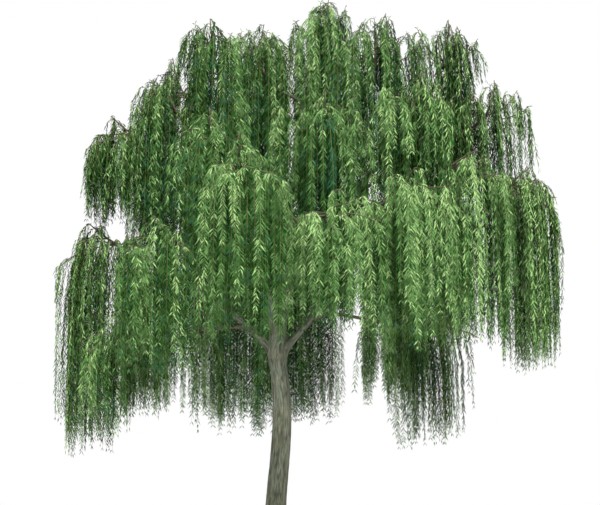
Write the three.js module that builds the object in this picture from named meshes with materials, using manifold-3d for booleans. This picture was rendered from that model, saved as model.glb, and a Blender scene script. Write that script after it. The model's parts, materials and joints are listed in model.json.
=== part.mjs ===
// A weeping willow: a short bowed trunk, limbs that fork from it, and hanging foliage at the tip of each limb.
// Millimetres, +Z up, +X to the right and -Y to the front. The origin is the middle of the cut at ground level.
import * as THREE from "three";
import { mergeVertices } from "three/addons/utils/BufferGeometryUtils.js";
import Module from "manifold-3d";

const wasm = await Module();
wasm.setup();

// ---- Driving dimensions ----

const GAP = 0.3; // between neighbouring solids
const SKIN = 0.15; // added to a limb before it cuts a neighbour, so that the gap holds on the flats too

const TRUNK = {
  height: 2780, // from the ground to the fork
  radius: 163,
  taper: 0.009, // radius lost for each millimetre of height
  flare: 105, // radius that the roots add at the ground
  flareHeight: 180,
  lobes: 5, // roots that show as ridges in the flare
  lobeDepth: 0.15,
  swell: 20, // radius that the limbs add at the fork
  swellHeight: 260,
  bow: 125, // how far the stem bows to the right
  bowTurn: 0.86, // of half a turn, so that the top leans back
  bowBend: 1.5, // above 1, so that the bow is strongest in the upper half
  cap: 110, // height of the rounded top above the fork
  capShape: [
    [0.55, 0.86],
    [1, 0.45],
  ], // shares of the cap's height and of the trunk's radius there
  sides: 12,
  rings: 11,
  crowding: 1.6, // above 1, so that the rings stand closer together in the root flare
};

// A limb is a tapering tube on a curve. Main limbs leave the trunk, and boughs leave the main limbs.
const MAIN = { sides: 7, steps: 7 };
const BOUGH = { sides: 5, steps: 4 };
const TIP_RADIUS = 26; // where a limb ends and its mass begins
const COLLAR = 0.3; // extra share of a limb's radius where it leaves its parent
const COLLAR_LENGTH = 0.12; // share of the limb that the collar fades over
const LIMB_PULL = { root: 0.36, tip: 0.3, parent: 0.5 }; // how strongly its two ends and its parent bend it
const FORK_FROM = 0.2; // the part of a main limb that boughs may leave from, as shares of its length
const FORK_TO = 0.82;
const FORK_STEP = 0.05;
const FORK_APART = 0.07;
const LIMBS_APART = 130; // between the middle lines of a bough and of any other limb or stem
const TIGHT_COST = 2500; // as if the way were this much longer, where a bough would come closer
const LEAST_CLIMB = 0.35; // a bough climbs at least this much for each millimetre outwards
const FLAT_COST = 3; // how much longer a way may be for each millimetre that it climbs too little

// How the foliage of each tier stands on its bough: the rise and run of its stem, the slope of the bough's tip,
// the radius that twigs hang within, and a larger one that shares out the space between neighbours.
const TIERS = {
  top: { rise: 950, run: 160, slope: 72, hang: 500, spread: 700 },
  high: { rise: 800, run: 320, slope: 55, hang: 600, spread: 780 },
  side: { rise: 430, run: 560, slope: 32, hang: 660, spread: 900 },
  rim: { rise: 430, run: 500, slope: 32, hang: 510, spread: 860 },
  low: { rise: 380, run: 460, slope: 28, hang: 550, spread: 820 },
};

// Every mass: name, tier, x and y of its head, the height of its top and of its hem.
// Main limbs come first and add what they leave, and the share of its length where they leave it.
const MASSES = [
  ["crown_top", "top", 860, 50, 8600, 5900, "trunk", 0.93],
  ["top_left", "top", -1000, -550, 8150, 5200, "trunk", 0.96],
  ["right_mid", "rim", 3970, -350, 5850, 2600, "trunk", 0.88],
  ["left_low", "rim", -2920, 150, 5020, 1350, "trunk", 0.91],
  ["right_top", "top", 2800, 350, 8360, 5100, "crown_top", 0.2],
  ["back_mid", "side", 430, 2950, 5600, 1850, "trunk", 0.94],
  ["front_mid", "side", 880, -2950, 5150, 2950, "crown_top", 0.1],
  ["top_mid", "top", -170, 800, 8380, 5200],
  ["top_front", "top", 1720, -800, 8180, 5400],
  ["left_shoulder", "high", -1660, 850, 7830, 4300],
  ["left_high", "high", -1660, -550, 7250, 4300],
  ["front_high", "high", 760, -1700, 6780, 4300],
  ["front_left_high", "high", -950, -1900, 6500, 3700],
  ["front_right_high", "high", 2200, -1800, 7050, 4400],
  ["right_high", "high", 3500, 100, 7320, 5200],
  ["back_right_high", "high", 2600, 1800, 7250, 4300],
  ["back_high", "high", 950, 2000, 7500, 4200],
  ["back_left_high", "high", -700, 2200, 7200, 4200],
  ["left_mid", "rim", -2560, 0, 6700, 4900],
  ["front_left_mid", "side", -1780, -2050, 4850, 2400],
  ["front_mid_left", "side", -480, -2900, 5780, 2950],
  ["front_mid_right", "side", 2000, -2650, 5500, 2850],
  ["front_right_mid", "side", 2980, -1700, 5900, 2900],
  ["back_right_mid", "side", 2950, 1750, 5750, 3150],
  ["back_mid_right", "side", 2200, 2650, 5850, 2150],
  ["back_left_mid", "side", -680, 2950, 5700, 1600],
  ["front_left_low", "low", -2420, -1200, 3500, 1650],
  ["back_left_low", "low", -2100, 1700, 4750, 2000],
  ["right_low", "low", 2500, 150, 3850, 1450],
];

// The twigs and leaves of a mass. Each leaf stands for a spray of real leaves.
const STEM = { steps: 2, sides: 4, radius: 26, tipRadius: 19 };
const STEM_BARE = 0.6; // twigs leave the stem from this share below its head
const TWIG = {
  perMass: 5,
  sides: 3,
  rootRadius: 7, // inside the stem
  radius: 13,
  tipRadius: 9,
  archSteps: 3,
  rise: 60, // how far every twig rises before it arches over
  lift: 0.12, // how much more it rises, as a share of its reach
  sag: 0.75, // how far it falls while it arches over
  crest: 0.45, // share of its reach where it is highest
  drift: 0.04, // how far it hangs outwards, as a share of its fall
  splay: 0.6, // from 0, away from the trunk, to 1, away from the middle of its mass
  ragged: 600, // how much higher than the hem a twig may end
  jitter: 0.16, // of its place in the mass
};
const TWIG_BIT = 60; // a twig without room is shortened by this much at a time
const ATTEMPTS = 10; // places tried for each twig
const GOOD_ENOUGH = 0.97; // share of its length that is kept, with which no other place is tried
const LEAF_ATTEMPTS = 6; // sides of the twig tried for each leaf
const LEAF = {
  length: 1040,
  width: 285,
  thickness: 16,
  spacing: 870, // along a twig
  bare: 260, // length of the twig's root that has none
  stub: 30, // length of twig below the last one
  angle: 15, // degrees from the twig
  follow: 0.35, // how much it keeps to the twig's direction rather than hanging straight down
  uneven: 0.15, // how much longer or shorter it may be, as a share
  sunk: 4, // beyond the middle of the twig
  overhang: 0.9, // share of its length that the last one hangs below the twig
};
const CLEAR_OF_NEIGHBOUR = 12; // between foliage and another mass or a limb
const ARCHES = 60; // height of the arching twigs over the stem's end
const OVERHEAD = 60; // the space of a mass goes on this far above its top
const UNDERNEATH = 60; // and this far below its hem
const LIMB_CHECK = 80; // twigs are compared with the limbs at least this often
const LOWEST_LEAF = 300; // above the ground

const STEEP = 0.3; // a tube whose level direction shortens to this is given another one

const UP = new THREE.Vector3(0, 0, 1);
const GOLDEN_ANGLE = Math.PI * (3 - Math.sqrt(5));
const radians = THREE.MathUtils.degToRad;

// A level direction, by its angle round the tree.
function level(angle) {
  return new THREE.Vector3(Math.cos(angle), Math.sin(angle), 0);
}

// A direction that rises from a level one.
function sloping(out, angle) {
  return out.clone().multiplyScalar(Math.cos(angle)).addScaledVector(UP, Math.sin(angle));
}

// ---- Solids ----

// A repeatable series of numbers from 0 to 1.
function seeded(seed) {
  let state = seed | 0;
  return () => {
    state = (state + 0x6d2b79f5) | 0;
    let t = Math.imul(state ^ (state >>> 15), 1 | state);
    t = (t + Math.imul(t ^ (t >>> 7), 61 | t)) ^ t;
    return ((t ^ (t >>> 14)) >>> 0) / 4294967296;
  };
}

function toSolid(geometry) {
  const bare = geometry.index ? geometry.toNonIndexed() : geometry.clone();
  bare.deleteAttribute("normal");
  bare.deleteAttribute("uv");
  const merged = mergeVertices(bare, 1e-3);
  return new wasm.Manifold(
    new wasm.Mesh({
      numProp: 3,
      vertProperties: merged.attributes.position.array,
      triVerts: new Uint32Array(merged.index.array),
    }),
  );
}

function toGeometry(solid) {
  const { vertProperties, triVerts } = solid.getMesh();
  const geometry = new THREE.BufferGeometry();
  geometry.setAttribute("position", new THREE.BufferAttribute(vertProperties, 3));
  geometry.setIndex(new THREE.BufferAttribute(triVerts, 1));
  const faceted = geometry.toNonIndexed();
  faceted.computeVertexNormals();
  return faceted;
}

// A closed tube round a line of points: one ring for each point, with flat ends. outline(ring, angle) scales
// the radius there, facing is the direction of the first ring, and turn is where its first corner stands.
function tube(points, radii, sides, { outline = () => 1, facing = null, turn = 0 } = {}) {
  const tangents = points.map((p, i) =>
    points[Math.min(i + 1, points.length - 1)].clone().sub(points[Math.max(i - 1, 0)]).normalize(),
  );
  if (facing) tangents[0] = facing;
  let across = level(turn).projectOnPlane(tangents[0]);
  if (across.length() < STEEP) across = level(turn + Math.PI / 2).projectOnPlane(tangents[0]);
  const rings = points.map((centre, i) => {
    across = across.clone().projectOnPlane(tangents[i]).normalize();
    const along = tangents[i].clone().cross(across);
    return Array.from({ length: sides }, (_, k) => {
      const angle = (2 * Math.PI * k) / sides;
      const r = radii[i] * outline(i, angle);
      return centre
        .clone()
        .addScaledVector(across, r * Math.cos(angle))
        .addScaledVector(along, r * Math.sin(angle));
    });
  });
  const corners = [];
  for (let i = 0; i + 1 < rings.length; i++)
    for (let k = 0; k < sides; k++) {
      const [a, b] = [rings[i][k], rings[i][(k + 1) % sides]];
      const [c, d] = [rings[i + 1][(k + 1) % sides], rings[i + 1][k]];
      corners.push(a, b, c, a, c, d);
    }
  const [first, last] = [rings[0], rings[rings.length - 1]];
  for (let k = 1; k + 1 < sides; k++) {
    corners.push(first[0], first[k + 1], first[k]);
    corners.push(last[0], last[k], last[k + 1]);
  }
  return toSolid(new THREE.BufferGeometry().setFromPoints(corners));
}

// The same line with a skin added to its sides and its end.
function grown({ points, radii }, skin) {
  const end = points[points.length - 1];
  const onwards = end.clone().sub(points[points.length - 2]).setLength(skin);
  return { points: [...points.slice(0, -1), end.clone().add(onwards)], radii: radii.map((r) => r + skin) };
}

// ---- Trunk ----

function trunkCentre(z) {
  const turn = Math.PI * TRUNK.bowTurn * (Math.max(z, 0) / TRUNK.height) ** TRUNK.bowBend;
  return new THREE.Vector3(TRUNK.bow * Math.sin(turn), 0, z);
}

function trunkRadius(z) {
  return (
    TRUNK.radius -
    TRUNK.taper * z +
    TRUNK.flare * Math.exp(-z / TRUNK.flareHeight) +
    TRUNK.swell * Math.exp(-(((z - TRUNK.height) / TRUNK.swellHeight) ** 2))
  );
}

function trunkLine() {
  const last = TRUNK.rings - 1;
  const heights = Array.from({ length: TRUNK.rings }, (_, i) => TRUNK.height * (i / last) ** TRUNK.crowding);
  const line = { points: heights.map(trunkCentre), radii: heights.map(trunkRadius) };
  const top = trunkRadius(TRUNK.height);
  for (const [rise, share] of TRUNK.capShape) {
    line.points.push(trunkCentre(TRUNK.height).add(new THREE.Vector3(0, 0, TRUNK.cap * rise)));
    line.radii.push(top * share);
  }
  return line;
}

// The first ring is level, so the cut at the ground is flat.
function trunkSolid(grow = 0) {
  const { points, radii } = grown(trunkLine(), grow);
  const lobes = (ring, angle) =>
    1 + TRUNK.lobeDepth * Math.exp(-points[ring].z / TRUNK.flareHeight) * Math.cos(TRUNK.lobes * angle);
  return tube(points, radii, TRUNK.sides, { outline: lobes, facing: UP });
}

// ---- Limbs ----

// The horizontal direction from the middle of the crown to a mass, which its bough and stem point along.
function outwards(x, y) {
  return new THREE.Vector3(x, y, 0).normalize();
}

// A mass with its bough's tip worked out: the stem rises and runs outwards from there to the head.
function planMass([name, tier, x, y, top, hem, parent, share], index) {
  const { rise, run, slope, hang, spread } = TIERS[tier];
  const out = outwards(x, y);
  const head = new THREE.Vector3(x, y, top - ARCHES);
  const tip = head.clone().addScaledVector(out, -run).setZ(top - rise);
  const tipDirection = sloping(out, radians(slope));
  const turn = GOLDEN_ANGLE * index;
  const seed = index + 1;
  return { name, head, top, hem, hang, spread, tip, tipDirection, parent, share, turn, seed };
}

const masses = MASSES.map(planMass);

function pointOnLine({ points }, share) {
  const at = share * (points.length - 1);
  const i = Math.min(Math.floor(at), points.length - 2);
  return points[i].clone().lerp(points[i + 1], at - i);
}

function directionOnLine({ points }, share) {
  const i = Math.min(Math.floor(share * (points.length - 1)), points.length - 2);
  return points[i + 1].clone().sub(points[i]).normalize();
}

// A limb sets off between its parent's direction and its own, and ends along the slope of its tier.
function limbLine(parent, share, mass, steps) {
  const start = pointOnLine(parent, share);
  const reach = start.distanceTo(mass.tip);
  const towards = mass.tip.clone().sub(start).normalize();
  const setOff = directionOnLine(parent, share).multiplyScalar(LIMB_PULL.parent).add(towards).normalize();
  const curve = new THREE.CubicBezierCurve3(
    start,
    start.clone().addScaledVector(setOff, reach * LIMB_PULL.root),
    mass.tip.clone().addScaledVector(mass.tipDirection, -reach * LIMB_PULL.tip),
    mass.tip,
  );
  const points = Array.from({ length: steps + 1 }, (_, i) => curve.getPoint(i / steps));
  return { name: mass.name, points, mass };
}

// The closest that a limb comes to other lines of points, away from its own root.
function clearance(line, others) {
  const nearest = new THREE.Vector3();
  let least = Infinity;
  for (let i = 1; i < line.points.length; i++)
    for (const point of [line.points[i], line.points[i].clone().lerp(line.points[i - 1], 0.5)])
      for (const { points } of others)
        for (let k = 0; k + 1 < points.length; k++) {
          new THREE.Line3(points[k], points[k + 1]).closestPointToPoint(point, true, nearest);
          least = Math.min(least, nearest.distanceTo(point));
        }
  return least;
}

// The place on a main limb that gives a bough the shortest climb to its tip, away from the boughs that are
// already there and clear of the other limbs and of the stems of the masses.
function nearestFork(limbs, mass) {
  const stems = masses.filter((other) => other !== mass).map(({ tip, head }) => ({ points: [tip, head] }));
  const free = (limb, share) => limb.children.every((child) => Math.abs(child.share - share) > FORK_APART);
  let best = null;
  for (const limb of limbs.filter(({ main }) => main))
    for (let share = FORK_FROM; share <= FORK_TO; share += FORK_STEP) {
      if (!free(limb, share)) continue;
      const from = pointOnLine(limb, share);
      const reach = Math.hypot(mass.tip.x - from.x, mass.tip.y - from.y);
      const short = Math.max(0, LEAST_CLIMB * reach - (mass.tip.z - from.z));
      const others = [...stems, ...limbs.filter((other) => other !== limb)];
      const tight = clearance(limbLine(limb, share, mass, BOUGH.steps), others) < LIMBS_APART;
      const cost = from.distanceTo(mass.tip) + FLAT_COST * short + (tight ? TIGHT_COST : 0);
      if (!best || cost < best.cost) best = { cost, limb, share };
    }
  return best;
}

function growLimbs() {
  const trunk = { name: "trunk", ...trunkLine(), children: [] };
  const limbs = [];
  for (const mass of masses) {
    const main = Boolean(mass.parent);
    const fork = main
      ? { limb: [trunk, ...limbs].find((limb) => limb.name === mass.parent), share: mass.share }
      : nearestFork(limbs, mass);
    const { steps } = main ? MAIN : BOUGH;
    const limb = { ...limbLine(fork.limb, fork.share, mass, steps), main, children: [] };
    limb.parent = fork.limb;
    limb.share = fork.share;
    fork.limb.children.push(limb);
    limbs.push(limb);
  }
  // A limb's section is the sum of the sections that it carries.
  for (const limb of [...limbs].reverse()) {
    const carried = limb.children.reduce((sum, child) => sum + child.base ** 2, TIP_RADIUS ** 2);
    limb.base = Math.sqrt(carried);
    limb.radii = limb.points.map((_, i) => {
      const share = i / (limb.points.length - 1);
      const collar = 1 + COLLAR * Math.exp(-share / COLLAR_LENGTH);
      return (limb.base + (TIP_RADIUS - limb.base) * share) * collar;
    });
  }
  return { trunk, limbs };
}

const tree = growLimbs();

// ---- Foliage ----

// How much further a point is from the edge of a mass's space than it must be. Seen from above, two masses
// meet along the line where their circles balance, wherever both hang at that height.
function roomInPlan(mass, point) {
  let room = Infinity;
  for (const other of masses) {
    if (other === mass || point.z > other.top + OVERHEAD || point.z < other.hem - UNDERNEATH) continue;
    const apart = Math.hypot(other.head.x - mass.head.x, other.head.y - mass.head.y);
    const own = (point.x - mass.head.x) ** 2 + (point.y - mass.head.y) ** 2 - mass.spread ** 2;
    const theirs = (point.x - other.head.x) ** 2 + (point.y - other.head.y) ** 2 - other.spread ** 2;
    room = Math.min(room, (theirs - own) / (2 * apart));
  }
  return room - CLEAR_OF_NEIGHBOUR;
}

// The same for the distance from a straight piece of twig to the trunk and limbs.
function roomFromLimbs(from, to) {
  let room = Infinity;
  const nearest = new THREE.Vector3();
  const steps = Math.max(1, Math.ceil(from.distanceTo(to) / LIMB_CHECK));
  for (const limb of [tree.trunk, ...tree.limbs])
    for (let i = 0; i + 1 < limb.points.length; i++) {
      const piece = new THREE.Line3(limb.points[i], limb.points[i + 1]);
      const radius = Math.max(limb.radii[i], limb.radii[i + 1]);
      for (let k = 0; k <= steps; k++) {
        const at = from.clone().lerp(to, k / steps);
        piece.closestPointToPoint(at, true, nearest);
        room = Math.min(room, nearest.distanceTo(at) - radius);
      }
    }
  return room - CLEAR_OF_NEIGHBOUR;
}

// Whether a straight piece stays in the mass's space and off the limbs.
function hasRoom(mass, from, to, width = 0) {
  if (Math.min(from.z, to.z) < LOWEST_LEAF) return false;
  const middle = from.clone().lerp(to, 0.5);
  for (const point of [from, middle, to]) if (roomInPlan(mass, point) < width) return false;
  return roomFromLimbs(from, to) > width;
}

// The stem goes on from the bough and bends up to the head.
function stemCurve(mass, limb) {
  const last = limb.points.length - 1;
  const facing = limb.points[last].clone().sub(limb.points[last - 1]).normalize();
  const from = limb.points[last].clone().addScaledVector(facing, GAP);
  const bend = from.clone().addScaledVector(facing, from.distanceTo(mass.head) / 2);
  return { facing, curve: new THREE.QuadraticBezierCurve3(from, bend, mass.head) };
}

// Where each twig hangs: a spiral over the plan of the mass, which spreads them evenly.
function hangingPlace(mass, k, random) {
  const radius = mass.hang * Math.sqrt((k + 0.5) / TWIG.perMass);
  const angle = GOLDEN_ANGLE * k + mass.turn;
  const wander = mass.hang * TWIG.jitter;
  return new THREE.Vector3(
    mass.head.x + radius * Math.cos(angle) + wander * (2 * random() - 1),
    mass.head.y + radius * Math.sin(angle) + wander * (2 * random() - 1),
    0,
  );
}

// A twig arches out of the stem to its hanging place and falls from there to the hem.
function twigLine(mass, curve, place, share, random) {
  const from = curve.getPoint(share);
  const reach = Math.hypot(place.x - from.x, place.y - from.y);
  const top = from.z + TWIG.rise + reach * TWIG.lift;
  const shoulder = place.clone().setZ(Math.max(top - reach * TWIG.sag, mass.hem));
  const over = from.clone().lerp(shoulder, TWIG.crest).setZ(top + reach * TWIG.lift * 2);
  const arch = new THREE.QuadraticBezierCurve3(from, over, shoulder);
  const points = Array.from({ length: TWIG.archSteps + 1 }, (_, i) => arch.getPoint(i / TWIG.archSteps));
  const fall = shoulder.z - mass.hem - TWIG.ragged * random() ** 2;
  const out = outwards(place.x - mass.head.x * TWIG.splay, place.y - mass.head.y * TWIG.splay);
  if (fall > 0) points.push(shoulder.clone().addScaledVector(out, fall * TWIG.drift).setZ(shoulder.z - fall));
  return points;
}

// The part of a line that stays in its mass's space.
function kept(mass, points) {
  const line = [points[0]];
  for (let i = 1; i < points.length; i++) {
    const from = line[line.length - 1];
    const way = points[i].clone().sub(from).normalize();
    let to = points[i];
    while (!hasRoom(mass, from, to, TWIG.radius) && from.distanceTo(to) > TWIG_BIT) {
      to = to.clone().addScaledVector(way, -TWIG_BIT);
    }
    if (from.distanceTo(to) <= TWIG_BIT) break;
    line.push(to);
    if (to !== points[i]) break;
  }
  return line;
}

function lengthOf(points) {
  return points.slice(1).reduce((sum, p, i) => sum + p.distanceTo(points[i]), 0);
}

// A line without its last part, where only the end leaf hangs.
function shortened(points, by) {
  const line = [...points];
  let left = by;
  while (line.length > 1) {
    const end = line.pop();
    const before = line[line.length - 1];
    const piece = end.distanceTo(before);
    if (piece > left + TWIG_BIT) return [...line, end.lerp(before, left / piece)];
    left = Math.max(0, left - piece);
  }
  return line;
}

// Of a few places tried, the one where the twig hangs down furthest.
function bestTwig(mass, curve, k, random) {
  let best = [];
  for (let attempt = 0; attempt < ATTEMPTS; attempt++) {
    const place = hangingPlace(mass, k, random);
    const share = 1 - STEM_BARE * Math.sqrt((k / TWIG.perMass) * random());
    const whole = twigLine(mass, curve, place, share, random);
    const line = kept(mass, whole);
    if (lengthOf(line) > lengthOf(best)) best = line;
    if (lengthOf(line) > lengthOf(whole) * GOOD_ENOUGH) break;
  }
  return shortened(best, LEAF.length * LEAF.overhang);
}

// An eight-faced leaf whose root is inside the twig, hanging in a direction with its face turned outwards.
function leafShape(root, direction, out, scale) {
  const side = direction.clone().cross(out).normalize();
  const face = direction.clone().cross(side);
  const shape = new THREE.OctahedronGeometry(0.5);
  shape.scale(LEAF.width * scale, LEAF.thickness, LEAF.length * scale);
  shape.translate(0, 0, LEAF.length * scale * 0.5 - LEAF.sunk);
  shape.applyMatrix4(new THREE.Matrix4().makeBasis(side, face, direction));
  shape.translate(root.x, root.y, root.z);
  const middle = root.clone().addScaledVector(direction, LEAF.length * scale * 0.5);
  const tip = root.clone().addScaledVector(direction, LEAF.length * scale);
  const edges = [-0.5, 0.5].map((half) => middle.clone().addScaledVector(side, LEAF.width * scale * half));
  return { solid: toSolid(shape), edges, tip };
}

function leafHasRoom(mass, root, leaf, others) {
  if (!hasRoom(mass, root, leaf.tip, LEAF.width / 4)) return false;
  for (const edge of leaf.edges) {
    if (!hasRoom(mass, root, edge) || !hasRoom(mass, edge, leaf.tip)) return false;
  }
  return others.every((other) => leaf.solid.intersect(other).isEmpty());
}

// Leaves stand at even spaces from the root of a twig to its end, and turn from one to the next.
// One that would touch a limb, another twig or another leaf is tried on the next side, or left out.
function leavesOf(mass, points, turn, others, random) {
  const line = new THREE.CurvePath();
  for (let i = 0; i + 1 < points.length; i++) line.add(new THREE.LineCurve3(points[i], points[i + 1]));
  const whole = line.getLength();
  const count = Math.max(1, Math.floor((whole - LEAF.bare) / LEAF.spacing));
  const leaves = [];
  let side = Math.floor(6 * random());
  for (let k = 0; k <= count; k++) {
    const share = (LEAF.bare + (whole - LEAF.bare - LEAF.stub) * (k / count)) / whole;
    const root = line.getPoint(share);
    const down = line.getTangent(share).multiplyScalar(LEAF.follow).addScaledVector(UP, -1).normalize();
    const scale = 1 + LEAF.uneven * (2 * random() - 1);
    side += 2 + Math.floor(2 * random());
    for (let attempt = 0; attempt < LEAF_ATTEMPTS; attempt++) {
      const out = level(turn + (Math.PI / 3) * (side + attempt));
      const lean = radians(LEAF.angle);
      const along = down.clone().multiplyScalar(Math.cos(lean));
      const direction = along.addScaledVector(out, Math.sin(lean)).normalize();
      const leaf = leafShape(root, direction, out, scale);
      if (!leafHasRoom(mass, root, leaf, [...others, ...leaves])) continue;
      leaves.push(leaf.solid);
      break;
    }
  }
  return leaves;
}

function tapered(from, to, count) {
  return Array.from({ length: count }, (_, i) => from + ((to - from) * i) / Math.max(1, count - 1));
}

function massSolid(mass, limb) {
  const random = seeded(mass.seed);
  const { facing, curve } = stemCurve(mass, limb);
  const stem = Array.from({ length: STEM.steps + 1 }, (_, i) => curve.getPoint(i / STEM.steps));
  const wood = [tube(stem, tapered(STEM.radius, STEM.tipRadius, stem.length), STEM.sides, { facing })];
  const twigs = [];
  for (let k = 0; k < TWIG.perMass; k++) {
    const points = bestTwig(mass, curve, k, random);
    const turn = 2 * Math.PI * random();
    if (lengthOf(points) < LEAF.bare) continue;
    const radii = [TWIG.rootRadius, ...tapered(TWIG.radius, TWIG.tipRadius, points.length - 1)];
    const solid = tube(points, radii, TWIG.sides, { turn });
    twigs.push({ points, turn, solid });
    wood.push(solid);
  }
  const leaves = [];
  for (const { points, turn, solid } of twigs) {
    const others = [...wood.filter((other) => other !== solid), ...leaves];
    leaves.push(...leavesOf(mass, points, turn, others, random));
  }
  return largest(wasm.Manifold.union([...wood, ...leaves]));
}

// ---- Assembly ----

// Fusing and cutting can leave scraps. The body itself is the largest piece.
function largest(solid) {
  return solid.decompose().sort((a, b) => b.volume() - a.volume())[0];
}

function limbSolid(limb, grow = 0) {
  const { points, radii } = grown(limb, grow);
  return tube(points, radii, limb.main ? MAIN.sides : BOUGH.sides);
}

const bark = { color: 0x6e695a, roughness: 0.9, metalness: 0 };
const youngBark = { color: 0x6b6348, roughness: 0.85, metalness: 0 };
const leaf = { color: 0x5c8a45, roughness: 0.6, metalness: 0 };

const willow = new THREE.Group();
willow.name = "weeping_willow";

function add(name, solid, material) {
  const mesh = new THREE.Mesh(toGeometry(solid), new THREE.MeshStandardMaterial(material));
  mesh.name = name;
  willow.add(mesh);
}

function assemble() {
  add("trunk", trunkSolid(), bark);
  const cutters = [{ name: "trunk", solid: trunkSolid(GAP + SKIN) }];
  for (const limb of tree.limbs) {
    let solid = limbSolid(limb);
    for (const { solid: cutter } of cutters) solid = solid.subtract(cutter);
    add(`${limb.name}_${limb.main ? "limb" : "bough"}`, largest(solid), limb.main ? bark : youngBark);
    cutters.push({ name: limb.name, solid: limbSolid(limb, GAP + SKIN) });
  }
  for (const limb of tree.limbs) add(`${limb.name}_foliage`, massSolid(limb.mass, limb), leaf);
}

assemble();

export default willow;
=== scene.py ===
"""A weeping willow in leaf: bark with relief, and foliage carried to fine twigs and leaves.

Metres, +Z up, +X to the right and -Y to the front. The table of masses, the rule that places the limbs and
the space of each mass repeat the part's source. The twigs and leaves grow on from there.
"""

import json
import math
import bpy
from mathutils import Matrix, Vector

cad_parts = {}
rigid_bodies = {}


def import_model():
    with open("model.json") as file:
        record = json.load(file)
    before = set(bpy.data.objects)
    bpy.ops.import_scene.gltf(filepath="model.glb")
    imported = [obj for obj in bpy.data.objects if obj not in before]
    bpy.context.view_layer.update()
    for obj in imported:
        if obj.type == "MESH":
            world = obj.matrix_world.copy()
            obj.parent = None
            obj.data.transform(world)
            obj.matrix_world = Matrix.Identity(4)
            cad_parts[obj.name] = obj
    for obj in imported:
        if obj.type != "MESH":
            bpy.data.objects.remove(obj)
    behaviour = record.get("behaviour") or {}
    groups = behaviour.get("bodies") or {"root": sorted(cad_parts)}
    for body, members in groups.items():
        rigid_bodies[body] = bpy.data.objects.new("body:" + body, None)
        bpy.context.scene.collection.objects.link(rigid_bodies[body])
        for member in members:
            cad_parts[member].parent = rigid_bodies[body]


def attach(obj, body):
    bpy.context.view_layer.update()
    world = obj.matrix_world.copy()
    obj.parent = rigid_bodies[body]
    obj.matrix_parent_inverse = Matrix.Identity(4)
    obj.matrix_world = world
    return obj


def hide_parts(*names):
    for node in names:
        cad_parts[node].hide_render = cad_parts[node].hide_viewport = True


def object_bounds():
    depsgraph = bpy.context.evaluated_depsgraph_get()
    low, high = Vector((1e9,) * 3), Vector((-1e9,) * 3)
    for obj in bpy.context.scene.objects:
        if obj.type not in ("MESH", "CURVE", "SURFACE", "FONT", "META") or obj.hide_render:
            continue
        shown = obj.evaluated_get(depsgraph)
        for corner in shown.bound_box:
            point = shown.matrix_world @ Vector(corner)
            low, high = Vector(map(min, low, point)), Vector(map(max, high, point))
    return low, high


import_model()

from types import SimpleNamespace

import bpy
import numpy as np
from mathutils import Vector

CAD_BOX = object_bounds()
LEAF_REACH = 0.12  # the most that a leaf reaches out from its strand
REACH_MIDDLE = (np.array(CAD_BOX[0]) + np.array(CAD_BOX[1])) / 2
REACH_HALF = (np.array(CAD_BOX[1]) - np.array(CAD_BOX[0])) / 2 - np.array([LEAF_REACH, LEAF_REACH, 0])

# ---- Driving dimensions, as in the part's source ----

GAP = 0.0003

TRUNK = SimpleNamespace(
    height=2.78,
    radius=0.163,
    taper=0.009,
    flare=0.105,
    flare_height=0.18,
    lobes=5,
    lobe_depth=0.15,
    swell=0.02,
    swell_height=0.26,
    bow=0.125,
    bow_turn=0.86,
    bow_bend=1.5,
    cap=0.11,
    cap_shape=((0.55, 0.86), (1.0, 0.45)),
    rings=11,
    crowding=1.6,
)

MAIN_STEPS = 7
BOUGH_STEPS = 4
TIP_RADIUS = 0.026
COLLAR = 0.3
COLLAR_LENGTH = 0.12
LIMB_PULL = SimpleNamespace(root=0.36, tip=0.3, parent=0.5)
FORK_FROM = 0.2
FORK_TO = 0.82
FORK_STEP = 0.05
FORK_APART = 0.07
LIMBS_APART = 0.13
TIGHT_COST = 2.5
LEAST_CLIMB = 0.35
FLAT_COST = 3

# Rise and run of the stem, slope of the bough's tip in degrees, the radius that twigs hang within, and the
# radius that shares out the space between neighbours.
TIERS = {
    "top": SimpleNamespace(rise=0.95, run=0.16, slope=72, hang=0.5, spread=0.7),
    "high": SimpleNamespace(rise=0.8, run=0.32, slope=55, hang=0.6, spread=0.78),
    "side": SimpleNamespace(rise=0.43, run=0.56, slope=32, hang=0.66, spread=0.9),
    "rim": SimpleNamespace(rise=0.43, run=0.5, slope=32, hang=0.51, spread=0.86),
    "low": SimpleNamespace(rise=0.38, run=0.46, slope=28, hang=0.55, spread=0.82),
}

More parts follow.
